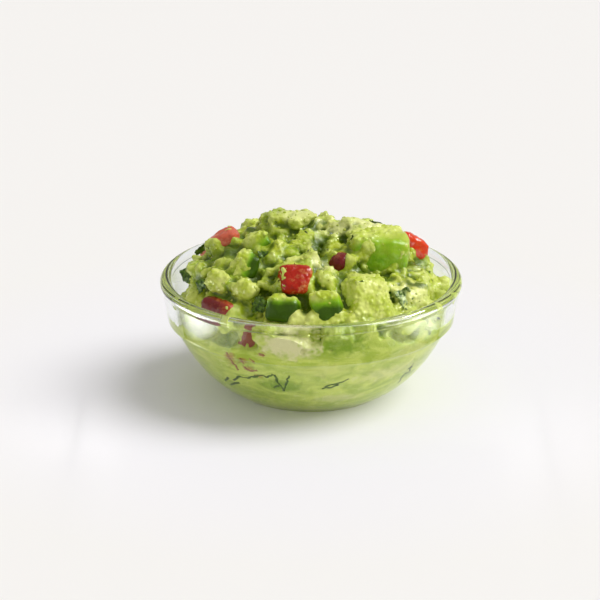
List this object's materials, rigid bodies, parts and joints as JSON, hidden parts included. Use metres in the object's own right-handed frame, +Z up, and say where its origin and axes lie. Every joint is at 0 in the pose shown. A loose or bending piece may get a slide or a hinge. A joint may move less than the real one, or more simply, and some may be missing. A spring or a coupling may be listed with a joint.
{
  "type": "guacamole in a glass bowl",
  "caption": "Chunky guacamole with avocado chunks, tomato dice and coriander leaf, heaped over the rim of a small clear glass bowl.",
  "frame": {"origin": "middle of the bowl's foot, on the surface that it stands on", "axes": "+Z up along the bowl's axis, -Y towards the viewer of the shown side, +X to the viewer's right"},
  "size_m": [0.09, 0.09, 0.0548],
  "materials": {
    "clear_glass": "clear pressed glass, polished, with a faint green tint",
    "mashed_avocado": "moist lumpy mashed avocado, pale yellow-green, satin with wet spots",
    "avocado_flesh": "moist cut avocado, vivid green outside to pale yellow-green inside, satin",
    "tomato_flesh": "wet diced tomato, red, glossy",
    "coriander_leaf": "chopped fresh herb leaf, dark green, matte"
  },
  "bodies": {
    "root": {"glass_bowl": "clear_glass", "guacamole": "mashed_avocado", "avocado_chunk_right": "avocado_flesh", "avocado_chunk_front": "avocado_flesh", "avocado_chunk_green": "avocado_flesh", "avocado_chunk_dark": "avocado_flesh", "avocado_chunk_left": "avocado_flesh", "avocado_chunk_left_low": "avocado_flesh", "avocado_bit_upper": "avocado_flesh", "avocado_bit_middle": "avocado_flesh", "avocado_chunk_back_left": "avocado_flesh", "avocado_chunk_back_right": "avocado_flesh", "tomato_centre": "tomato_flesh", "tomato_left_top": "tomato_flesh", "tomato_right": "tomato_flesh", "tomato_left_front": "tomato_flesh", "tomato_gap": "tomato_flesh", "tomato_at_glass": "tomato_flesh", "tomato_back_left": "tomato_flesh", "tomato_back": "tomato_flesh", "tomato_back_right": "tomato_flesh", "coriander_leaf_front": "coriander_leaf", "coriander_leaf_left": "coriander_leaf", "coriander_leaf_low": "coriander_leaf", "coriander_leaf_shade": "coriander_leaf", "coriander_leaf_middle": "coriander_leaf", "coriander_leaf_back": "coriander_leaf", "coriander_leaf_back_left": "coriander_leaf", "coriander_leaf_back_right": "coriander_leaf"}
  },
  "joints": []
}
